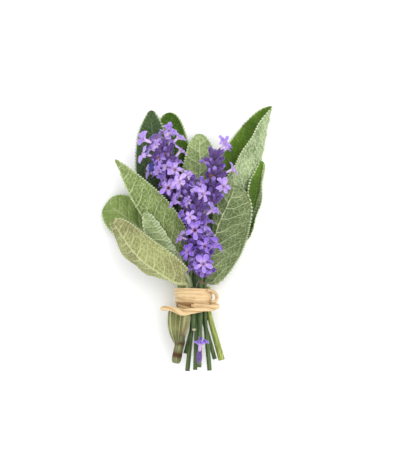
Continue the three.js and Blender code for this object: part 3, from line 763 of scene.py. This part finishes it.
def turned_rings(foot, direction, top, radii, heights, sides, ripple=1.0, lift=0.0):
    """Rings round a straight axis. ripple scales the radius and lift moves a point along the axis."""
    across = unit(np.cross(direction, top))
    over = np.cross(across, direction)
    turn = ring_turns(sides)
    reach = np.array(radii)[:, None] * np.ones(sides) * ripple
    height = np.array(heights)[:, None] * np.ones(sides) + lift
    out = across * np.cos(turn)[:, None] + over * np.sin(turn)[:, None]
    return foot + out[None] * reach[..., None] + direction * height[..., None]


def add_calyx(shape, foot, direction, top, scale=1.0, chance=1.0):
    """A ribbed, toothed calyx, and for a chance under BUD_CHANCE the bud that peeps out of it."""
    share = np.array([0, 0.06, 0.2, 0.4, 0.6, 0.78, 0.9, 1.0, 1.0, 0.9])
    body = np.array([0.42, 0.62, 0.86, 1.0, 1.02, 0.94, 0.84, 0.8, 0.66, 0.55])
    turn = ring_turns(CALYX_SIDES)
    ribs = np.cos(13 * turn)[None, :]
    length = CALYX_LENGTH * scale
    radii = body * CALYX_DIAMETER / 2 * scale
    ripple = 1 + 0.07 * ribs * smooth(share * 4)[:, None]
    teeth = 0.28 * np.cos(5 * turn)[None, :] * (share >= 1)[:, None]
    rings = turned_rings(foot, direction, top, radii, share * length, CALYX_SIDES, ripple, teeth)
    shape.add_rings(rings, height=share[:, None], ridge=np.maximum(ribs, 0), bud=0, brown=0)
    if chance < BUD_CHANCE:
        depth = np.linspace(0, 1, 7)
        radii = 1.12 * scale * np.sqrt(np.maximum(0.02, 1 - (2 * depth - 1) ** 2))
        heights = length - 0.75 + depth * lerp(2.0, 2.8, chance) * scale
        folds = 1 + 0.08 * np.cos(4 * ring_turns(BUD_SIDES))[None, :]
        bud = turned_rings(foot, direction, top, radii, heights, BUD_SIDES, folds)
        shape.add_rings(bud, height=1, ridge=0, bud=0.9, brown=0)


# Two lobes above and three below, each with its middle, size and half width round the mouth.
LOBE_TURNS = np.radians([90 - 31, 90 + 31, 198, 270, 342])
LOBE_SIZES = np.array([1.0, 1.0, 0.86, 0.94, 0.86])
LOBE_HALF = np.radians([31, 31, 31, 29, 31])
COROLLA_SIDES = 90
THROAT_REACH = np.array([[1], [0.8], [0.55], [0.3]])
THROAT_DEPTH = np.array([[0.1], [0.55], [0.95], [1.1]])


def lobe_outline(turn, rng):
    """How far the rim reaches at each turn, where a point is across its own lobe, and which it is."""
    turns = LOBE_TURNS + rng.uniform(-0.13, 0.13, 5)
    apart = (turn[:, None] - turns[None, :] + np.pi) % (2 * np.pi) - np.pi
    place = apart / (LOBE_HALF * rng.uniform(0.85, 1.1, 5))[None, :]
    nearest = np.argmin(np.abs(place), axis=1)
    across = np.clip(place[np.arange(len(turn)), nearest], -1.2, 1.2)
    rounded = np.maximum(0, 1 - np.clip(np.abs(across), 0, 1) ** 1.9) ** 0.7
    sizes = LOBE_SIZES * rng.uniform(0.98, 1.28, 5)
    return sizes[nearest] * (0.3 + 0.7 * rounded), across, nearest


def add_corolla(shape, foot, direction, top, size, seed, tube_length, tints, closed, withered=0.0):
    """A two-lipped corolla: a slim tube that flares into five ruffled lobes round a dark throat."""
    rng = np.random.default_rng(seed)
    outline, across, lobe = lobe_outline(ring_turns(COROLLA_SIDES), rng)
    bend = rng.uniform(-1.0, 2.2, 5)[lobe]
    curl = rng.uniform(0.1, 0.9, 5)[lobe]
    ruffle_phase = rng.uniform(0, 6.3, 5)[lobe]
    ring = np.ones(COROLLA_SIDES)
    throat = 0.72 * size
    tube = np.linspace(0, 1, 7)[:, None]
    flare = np.linspace(0, 1, 11)[1:, None]
    lobe_reach = throat + flare * (COROLLA_SPREAD / 2 * size * outline - throat) * (1 - 0.62 * closed)
    reach = np.concatenate([
        throat * (0.62 + 0.3 * tube + 0.12 * np.sin(np.pi * tube)) * ring,
        lobe_reach, lobe_reach[::-1] * 0.985, throat * 0.7 * THROAT_REACH * ring,
    ])
    spread = 0.75 * size * np.sin(flare * np.pi / 2 * 0.9) + closed * 2.6 * size * flare
    spread = spread + (bend * 0.5 - curl * flare**2) * flare**2 * size
    cup = 0.55 * size * across**2 * flare**1.5
    ruffle = 0.34 * size * np.sin(across * 4.6 + ruffle_phase) * flare**2.5
    lobe_height = tube_length + spread + cup + ruffle
    height = np.concatenate([
        tube * tube_length * ring, lobe_height, lobe_height[::-1] + 0.2 * size,
        (tube_length - THROAT_DEPTH * size) * ring,
    ])
    rows, inner = len(reach), np.zeros((len(THROAT_REACH), 1))
    outward = 0.4 + 0.6 * flare
    along = np.concatenate([0.4 * tube, outward, outward[::-1], inner + 0.35])
    rings = turned_rings(
        foot, direction, top, np.ones(rows), np.zeros(rows), COROLLA_SIDES, reach, height
    )
    rings = rings + unit(rng.normal(size=3)) * 0.35 * size * smooth(along * 1.2)[..., None]
    depth = rng.choice([0.35, 0.6, 1.0])
    dark = np.zeros((rows, 1))
    dark[-4:] = depth
    dark[-5] = 0.5 * depth
    shape.add_rings(
        rings, reach=along, tint=rng.uniform(*tints), throat=dark, withered=withered,
        ridge=hump(across, 0.16) * smooth(along * 2),
        rim=np.concatenate([0 * tube, flare**4, flare[::-1] ** 4, inner]),
    )


def add_cut_stem(shape, rings, brown=0.0):
    """A square stem whose cut end is dished, with a pale pith and a darker rind."""
    middle = rings[:1].mean(axis=1, keepdims=True)
    face = [lerp(middle, rings[:1], share) for share in (0.25, 0.6, 0.9)]
    inward = unit(rings[1].mean(0) - rings[0].mean(0))
    face[0] = face[0] + inward * 0.25
    face[1] = face[1] + inward * 0.18
    cut = np.zeros(len(rings) + 3)
    cut[:3] = (1.0, 0.8, 0.25)
    browned = np.concatenate([np.zeros(3), np.zeros(len(rings)) + brown])
    browned[2:4] = np.maximum(browned[2:4], 0.5)
    ridge = corners(4 * ring_turns(STEM_SIDES))[None, :]
    shape.add_rings(np.concatenate([*face, rings]), ridge=ridge, cut=cut[:, None], brown=browned[:, None])


def add_bract(shape, place, direction, length):
    """A papery brown bract: a small pointed scale."""
    share = np.linspace(0, 1, 12)
    turn = ring_turns(BRACT_SIDES)
    radii = BRACT_WIDTH / 2 * np.maximum(0.06, np.sin(np.pi * share**0.7) ** 0.8)
    thin = 1 / np.sqrt(np.cos(turn) ** 2 + (np.sin(turn) / 0.16) ** 2)
    cupped = 0.5 * np.cos(turn)[None, :] ** 2 * np.sin(np.pi * share)[:, None]
    rings = turned_rings(place, direction, UP, radii, share * length, BRACT_SIDES, thin[None, :])
    rings = rings + UP * cupped[..., None]
    shape.add_rings(rings, height=0.5, ridge=np.abs(np.cos(5 * turn))[None, :], bud=0, brown=0.9)


def faded(tints, stalk, distance):
    """Tints for a floret at a distance from its stalk's tip, darker further down."""
    return np.clip(np.array(tints) - stalk["fading"] * distance, 0, 1)


def add_open_florets(stalk, axis, calyxes, first):
    """The florets that are CAD nodes, each corolla its own piece. Returns where their lobes are."""
    mouths = []
    for number, (distance, turn, size) in enumerate(stalk["open"], first):
        foot, direction, top = calyx_place(axis, distance, turn, OPEN_LEAN)
        at_tip = distance < TIP_REACH and stalk["tip_droops"]
        if at_tip:
            direction = unit(direction * TIP_FLATTENS)
        add_calyx(calyxes, foot, direction, top)
        corolla = Shape()
        mouth = foot + direction * (CALYX_LENGTH + COROLLA_GAP - TUBE_SEAT)
        tube = COROLLA_TUBE * size + TUBE_SEAT
        tints = faded((0.45, 1.0), stalk, distance)
        closed = 0.3 if at_tip else 0.0
        add_corolla(corolla, mouth, direction, top, size, 100 + number, tube, tints, closed)
        node = f"corolla_{number:02d}"
        corolla.build(f"{node}_petals", COROLLA, "corolla", [node])
        mouths.append(foot + direction * (CALYX_LENGTH + COROLLA_TUBE * size))
    return mouths


def add_small_florets(stalk, axis, rng, mouths, calyxes, florets):
    """Rows of calyxes, closer than the CAD whorls, with buds and small florets in some of them."""
    for row in range(round(stalk["whorls"] * WHORL_PITCH / FINE_PITCH)):
        for i in range(stalk["count"]):
            turn = 360 * (i + row % 2 / 2) / stalk["count"] + rng.uniform(-9, 9)
            lean = CALYX_LEAN + rng.uniform(-10, 16)
            scale = rng.uniform(0.78, 1.0) * (1 - 0.15 * (row == 0))
            chance, kind = rng.uniform(), rng.uniform()
            seed = int(rng.integers(1, 1_000_000))
            distance = row * FINE_PITCH + rng.uniform(-0.7, 0.7) + 0.5
            foot, direction, top = calyx_place(axis, distance, turn, lean)
            if kind > stalk["florets"]:
                add_calyx(calyxes, foot, direction, top, scale, chance)
                continue
            add_calyx(calyxes, foot, direction, top, scale)
            mouth = foot + direction * CALYX_LENGTH * scale
            tube = rng.uniform(1.2, 2.2)
            lobes = mouth + direction * tube
            if any(np.linalg.norm(lobes - other) < FLORET_CLEARANCE for other in mouths):
                continue
            mouths.append(lobes)
            size = rng.uniform(0.68, 0.96)
            foot = mouth - direction * SMALL_TUBE_SEAT
            tints = faded((0.2, 0.85), stalk, row * FINE_PITCH)
            closed = 0.55 if kind < 0.12 else 0.0
            add_corolla(florets, foot, direction, top, size, seed, tube + SMALL_TUBE_SEAT, tints, closed)


def make_stalk(stalk, seed, first):
    name, rng = stalk["name"], np.random.default_rng(seed)
    axis = stem_curve(stalk["place"], stalk["cut"], stalk["axis"])
    body, calyxes, florets = Shape(), Shape(), Shape()
    along = np.linspace(0, 1, 120)
    radius = lerp(STEM_DIAMETER, STALK_TIP_DIAMETER, smooth(along)) / 2
    add_cut_stem(body, tube_rings(
        axis, along, radius, STEM_SIDES, lambda a, q: 0.9 + 0.22 * corners(4 * q + a * 2)
    ))
    body.build(f"{name}_stalk", LAVENDER_GREEN, "stalk", [name])
    mouths = add_open_florets(stalk, axis, calyxes, first)
    add_small_florets(stalk, axis, rng, mouths, calyxes, florets)
    for distance, turn, length in stalk["bracts"]:
        foot, direction, _ = calyx_place(axis, distance, turn, BRACT_LEAN)
        add_bract(calyxes, foot + direction * 1.5, direction, length)
    for distance, turn in stalk["withered"]:
        foot, direction, top = calyx_place(axis, distance, turn, WITHERED_LEAN)
        add_calyx(calyxes, foot, direction, top)
        add_corolla(florets, foot + direction * 4.6, direction, top, 0.75, 9, 2.2, (0, 0.2), 0.5, 0.9)
    calyxes.build(f"{name}_calyxes", CALYX, "calyx")
    florets.build(f"{name}_florets", COROLLA, "corolla")


first_open = 1
for seed, stalk in enumerate(STALKS, 40):
    make_stalk(stalk, seed, first_open)
    first_open += len(stalk["open"])

# The low floret lies on the front stalk, near its cut end. It is sunk a little lower than in CAD,
# and its corolla is larger.
LOW_SINK = 0.3
LOW_SIZE = 0.72
LOW_GROWTH = 1.5
LOW_SEED = 77
low_direction = unit(np.array([0.04, 1, 0.22]))
low_x, low_y = STALKS[2]["cut"]
low_z = slot_place(*STALKS[2]["place"])[1] + (STEM_DIAMETER + CALYX_DIAMETER) / 2 - LOW_SINK
low_foot = np.array([low_x, low_y + 1.6, low_z])
low = Shape()
add_calyx(low, low_foot, low_direction, UP)
low.build("low_floret_calyx", CALYX, "calyx", ["low_calyx"])
low = Shape()
low_mouth = low_foot + low_direction * (CALYX_LENGTH - 0.5)
low_tube = COROLLA_TUBE * LOW_SIZE + 1.1
add_corolla(low, low_mouth, low_direction, UP, LOW_SIZE * LOW_GROWTH, LOW_SEED, low_tube, (0.1, 0.2), 0.3)
low.build("low_floret_petals", COROLLA, "corolla", ["low_corolla"])

# --- Bare stems -----------------------------------------------------------------------------
# Each is its name, place in the tie, cut end, diameter, swelling at the cut, paint and slot. The
# short stem is painted as lavender, as in the photo, though its CAD slot is the young stem's.
BARE_STEMS = [
    ("lavender_stem", (1, 2), (0.7, STALK_CUT + 0.7), STEM_DIAMETER, 1, LAVENDER_GREEN, "stalk"),
    ("dark_stem", (0, 3), (9.3, -27.8), STEM_DIAMETER, 1, LAVENDER_GREEN, "stalk"),
    ("young_stem", (0, 4), (12.3, -28.2), PETIOLE_DIAMETER, 1.22, YOUNG_GREEN, "young_stem"),
    ("short_stem", (2, 1), (0.3, -15.6), PETIOLE_DIAMETER, 0.96, LAVENDER_GREEN, "young_stem"),
    ("back_stem", (-1, 2), (-3.4, -25.5), STEM_DIAMETER, 1.22, LAVENDER_GREEN, "stalk"),
    ("sage_stem", (0, 1), (-7.8, -29.6), SAGE_STEM_DIAMETER, 1.31, SAGE_WOOD, "sage_stem"),
]
SLANTED_CUTS = {"short_stem": 0.9}
SWELL_END = 0.62


def make_bare_stem(name, place, cut, thick, swell, paint, slot):
    along = np.linspace(0, 1, 90)
    radius = thick * lerp(swell, 1, smooth(np.minimum(1, along / SWELL_END))) / 2
    brown = 0.0
    if name == "sage_stem":  # two brown leaf scars, a swelling at one of them and a rounded end
        brown = np.clip(1.3 * hump(along - 0.11, 0.038) + 0.95 * hump(along - 0.265, 0.03), 0, 1)
        radius = radius * (1 + 0.14 * hump(along - 0.27, 0.05) - 0.38 * np.exp(-along / 0.022))
    rings = tube_rings(
        stem_curve(place, cut, []), along, radius, STEM_SIDES, lambda a, q: 0.92 + 0.12 * corners(4 * q)
    )
    slant = SLANTED_CUTS.get(name, 0) * np.exp(-(along / 0.04))[:, None]
    rings[..., 1] += slant * (rings[..., 2] - rings[..., 2].mean(axis=1, keepdims=True) + thick / 2)
    shape = Shape()
    add_cut_stem(shape, rings, brown)
    shape.build(f"{name}_stem", paint, slot, [name])


for stem in BARE_STEMS:
    make_bare_stem(*stem)

# The felted leaf base folded over the petioles, which narrows onto the sage stem and has no CAD
# node. Its stations give Y, X, half width, top, and how far the sides droop.
SHEATH = [
    (-4.4, -7.4, 3.0, 15.2, 3.2), (-8, -7.9, 3.4, 15.4, 4.4), (-12, -8.1, 3.4, 15.4, 4.8),
    (-16, -8.0, 3.0, 14.6, 4.4), (-19, -7.7, 2.2, 12.6, 3), (-21.5, -7.4, 1.3, 11.0, 2.2),
]
SHEATH_FOLDS = [(-0.66, 1.0), (0.12, 0.8), (0.7, 0.9)]  # each fold's place across, and its strength
SHEATH_THICKNESS = 0.55
SOFTEN_SPAN = 12


def soften(values):
    """A running mean over SOFTEN_SPAN values on either side."""
    window = 2 * SOFTEN_SPAN + 1
    return np.convolve(np.pad(values, SOFTEN_SPAN, mode="edge"), np.ones(window) / window, "valid")


def make_sheath():
    share = np.linspace(0, 1, 130)
    stations = np.linspace(0, 1, len(SHEATH))
    y, x, half, top, droop = (
        soften(np.interp(share, stations, column))[:, None] for column in zip(*SHEATH)
    )
    share = share[:, None]
    across = np.linspace(-1, 1, 61)[None, :]
    folds = sum(
        strength * hump(across - place * (1 - 0.5 * share**2), 0.11) for place, strength in SHEATH_FOLDS
    )
    lines = 0.5 + 0.5 * np.sin(26 * across + 5 * share)
    upper = top - droop * ((across - 0.35) / 1.35) ** 2 + 0.7 * folds + 0.06 * lines
    faces = [
        np.stack([x + half * across, y + 0.8 * across**2 * share, upper - lower], -1)
        for lower in (0.0, SHEATH_THICKNESS)
    ]
    marks = dict(
        cell=0.25 + 0.3 * lines, vein=0.8 * np.minimum(folds, 1), edge=np.abs(across) ** 14,
        brown=0.85 * smooth((share - 0.9) * 10),
    )
    marks = {name: both_sides(values + 0 * upper) for name, values in marks.items()}
    sheath = Shape()
    sheath.add_rings(both_sides(*faces), upper=1, net=0, **marks)
    sheath.build("sage_sheath_felt", LEAF_PAINTS["sheath"], "sage_stem")


make_sheath()


# --- Raffia ---------------------------------------------------------------------------------
# The routes start from the CAD model's. The bands lie WINDING_SHIFT nearer the cut ends, the strand
# bulges more, and the loop is fuller and nearer, as in the photo. The crossing strips are only here.
def round_tie(points):
    """A curve through points given as a turn in degrees from the top, Y, and the stand off the tie."""
    placed = []
    for turn, y, stand in points:
        angle = math.radians(turn)
        radius = WINDING_OUTER + stand
        placed.append((radius * math.sin(angle), y, TIE_CENTRE_Z + radius * math.cos(angle)))
    return Curve(placed)


def fibres(across, along, seed, count=5):
    """Lengthwise fibres across a ribbon, which wander a little along it, from 0 to 1."""
    rng = np.random.default_rng(seed)
    total = np.zeros(np.broadcast(across, along).shape)
    for _ in range(count):
        many, phase, drift = rng.uniform(3, 15), rng.uniform(0, 6.3), rng.uniform(-1.5, 1.5)
        total = total + np.sin(across * many + phase + drift * np.sin(along * 3 + phase))
    return 0.5 + 0.5 * total / count**0.7


WINDING_SHIFT = 0.7
# Each band: its first and last turn, its Y at each, how far it stands off the stems, its width and
# thickness, seed and painted shade. A core band sunk under the turns and painted dark as shade comes first,
# then the winding's turns, then the strips.
BANDS = [(0, 1, 0, 0.01, -0.35, 7.4, 0.15, 3, 0.75)]
for number in range(RAFFIA_TURNS):
    band_y = (number - RAFFIA_TURNS / 2) * TURN_PITCH
    BANDS.append((number, number + 1.02, band_y, band_y + TURN_PITCH, 0.0, 2.1, 0.22, 11 + number))
BANDS += [
    (-0.3, 0.45, 3.0, 2.4, 0.25, 2.3, 0.2, 21),
    (-0.25, 0.35, 1.6, -0.4, 0.2, 1.5, 0.2, 22),
    (-0.28, 0.3, -0.2, -2.9, 0.1, 1.2, 0.2, 23, 0.25),
    # A wide strip sunk under the winding's edge towards the cut ends, painted nearly fully dark as shade in
    # the gap.
    (-0.24, 0.2, -4.3, -4.5, -0.5, 2.4, 0.2, 24, 0.85),
    (-0.16, 0.0, -3.2, -5.2, -0.1, 1.1, 0.25, 25, 0.3),
    (-0.02, 0.12, -3.4, -5.3, -0.1, 1.3, 0.25, 26, 0.2),
]


def add_band(shape, start, end, y_start, y_end, stand, width, thickness, seed, shade=0.0):
    steps = max(24, int(abs(end - start) * 120))
    turn = np.linspace(start, end, steps)[:, None]
    angle = 2 * np.pi * turn
    across = np.linspace(-1, 1, 13)[None, :]
    strands = fibres(across, turn * 2, seed)
    y = lerp(y_start, y_end, np.linspace(0, 1, steps)[:, None]) + 0.12 * np.sin(angle * 1.7 + seed)
    wide = width / 2 * (1 + 0.1 * np.sin(angle * 1.3 + seed))
    radius = WINDING_INNER + stand + 0.1 * np.sin(angle * 2.3 + seed * 2) + 0 * across
    top = radius + thickness + 0.12 * (1 - across**2) + 0.16 * strands
    faces = [
        np.stack([
            height * np.sin(angle), y + across * wide - WINDING_SHIFT,
            np.maximum(TIE_CENTRE_Z + height * np.cos(angle), TABLE_CLEARANCE),
        ], -1)
        for height in (top, radius)
    ]
    # The last number darkens the whole band as painted shade.
    shape.add_rings(both_sides(*faces), fibre=both_sides(strands), shade=shade)


winding = Shape()
for band in BANDS:
    add_band(winding, *band)
winding.build("raffia_winding_straw", RAFFIA, "raffia", ["raffia_winding"])

STRAND_STAND = STRAND_END / 2 + SLOT_GAP
STRAND_ROUTE = [
    (-84, -5.6, 6.2), (-62, -5.5, 3), (-42, -6.2, STRAND_STAND), (-24, -7, STRAND_STAND),
    (-4, -6.3, STRAND_STAND), (20, -5.6, STRAND_STAND), (50, -5.1, STRAND_STAND), (82, -4.7, STRAND_STAND),
]
STRAND_SIDES = 72
STRAND_TWIST = 7.5
TWIST_START = 0.12
along = np.linspace(0, 1, 220)
radius = lerp(STRAND_START, STRAND_END, along) / 2
radius = radius * (0.84 + 0.34 * hump(along - 0.36, 0.1)) * np.sqrt(smooth(along * 26) * 0.75 + 0.25)


def strand_ripple(a, q):
    twisted = q + STRAND_TWIST * np.maximum(a, TWIST_START)
    lobes = 0.8 + 0.24 * np.abs(np.cos(1.5 * twisted)) ** 0.8
    return lobes + (0.035 * np.sin(11 * twisted) + 0.03 * np.sin(17 * twisted + 9 * a))


rings = tube_rings(round_tie(STRAND_ROUTE), along, radius, STRAND_SIDES, strand_ripple)
twist = ring_turns(STRAND_SIDES)[None, :] + STRAND_TWIST * along[:, None]
strand = Shape()
# The strand is painted darker in the grooves between its twisted lobes, as painted shade.
strand.add_rings(
    rings, fibre=0.5 + 0.3 * np.sin(11 * twist) + 0.25 * np.cos(3 * twist),
    shade=0.35 * (1 - np.abs(np.cos(1.5 * twist))) ** 2,
)
strand.build("raffia_strand_twist", RAFFIA, "raffia", ["raffia_strand"])

LOOP_DIAMETER = 0.9
LOOP_FULLNESS = 0.76
LOOP_SIDES = 36
LOOP_STAND = LOOP_DIAMETER / 2 + SLOT_GAP
LOOP_ROUTE = [
    (38, 2.6, LOOP_STAND), (56, 2.2, 1.1), (74, 0.6, 2.0), (78, -1.2, 2.2), (70, -2.4, 1.8),
    (56, -2.8, LOOP_STAND),
]


def loop_ripple(a, q):
    return 0.55 + 0.95 * np.abs(np.sin(q + 0.4 * a)) + 0.06 * np.sin(9 * q)


along = np.linspace(0, 1, 120)
radius = np.full(len(along), LOOP_FULLNESS * LOOP_DIAMETER)
rings = tube_rings(round_tie(LOOP_ROUTE), along, radius, LOOP_SIDES, loop_ripple)
loop = Shape()
# The loop is painted a little darker all over, as painted shade.
loop.add_rings(rings, fibre=0.5 + 0.4 * np.sin(9 * ring_turns(LOOP_SIDES))[None, :], shade=0.15)
loop.build("raffia_loop_straw", RAFFIA, "raffia", ["raffia_loop"])

# --- Studio, in metres ----------------------------------------------------------------------
FLOOR_HALF = 1.5
WORLD_STRENGTH = 1.24
KEY_PLACE = (0.42, 0.3, 0.8)
KEY_SIZE = 0.7
KEY_POWER = 2.2
PICTURE_HEIGHT = 0.206  # how much of the table the picture's long side takes in
MIDDLE_HEIGHT = 0.003
CAMERA_OFFSET = (0.0054, 0.0018)
LENS = 150
SENSOR = 36
scene = bpy.context.scene

floor_mesh = bpy.data.meshes.new("floor")
floor_corners = [(FLOOR_HALF * x, FLOOR_HALF * y, 0) for x, y in ((-1, -1), (1, -1), (1, 1), (-1, 1))]
floor_mesh.from_pydata(floor_corners, [], [(0, 1, 2, 3)])
floor = bpy.data.objects.new("floor", floor_mesh)
scene.collection.objects.link(floor)
white = Paint("white_table", roughness=0.9, specular=0.0)
floor.data.materials.append(white.finish(white.mix(white.noise(40, 2), (250, 250, 250), (252, 252, 252))))

world = bpy.data.worlds.new("studio")
world.use_nodes = True
background = world.node_tree.nodes["Background"]
background.inputs["Color"].default_value = (1, 1, 1, 1)
background.inputs["Strength"].default_value = WORLD_STRENGTH
scene.world = world
scene.view_settings.view_transform = "Standard"

key_data = bpy.data.lights.new("key", "AREA")
key_data.shape = "DISK"
key_data.size = KEY_SIZE
key_data.energy = KEY_POWER
key = bpy.data.objects.new("key", key_data)
key.location = KEY_PLACE
key.rotation_euler = (-Vector(KEY_PLACE)).to_track_quat("-Z", "Y").to_euler()
scene.collection.objects.link(key)

# The camera looks straight down.
camera_data = bpy.data.cameras.new("camera")
camera_data.lens = LENS
camera_data.sensor_width = SENSOR
camera_data.clip_start = 0.01
camera = bpy.data.objects.new("camera", camera_data)
low_corner, high_corner = CAD_BOX
centre = (low_corner + high_corner) / 2
camera.location = (
    centre.x + CAMERA_OFFSET[0], centre.y + CAMERA_OFFSET[1], MIDDLE_HEIGHT + PICTURE_HEIGHT * LENS / SENSOR
)
scene.collection.objects.link(camera)
scene.camera = camera
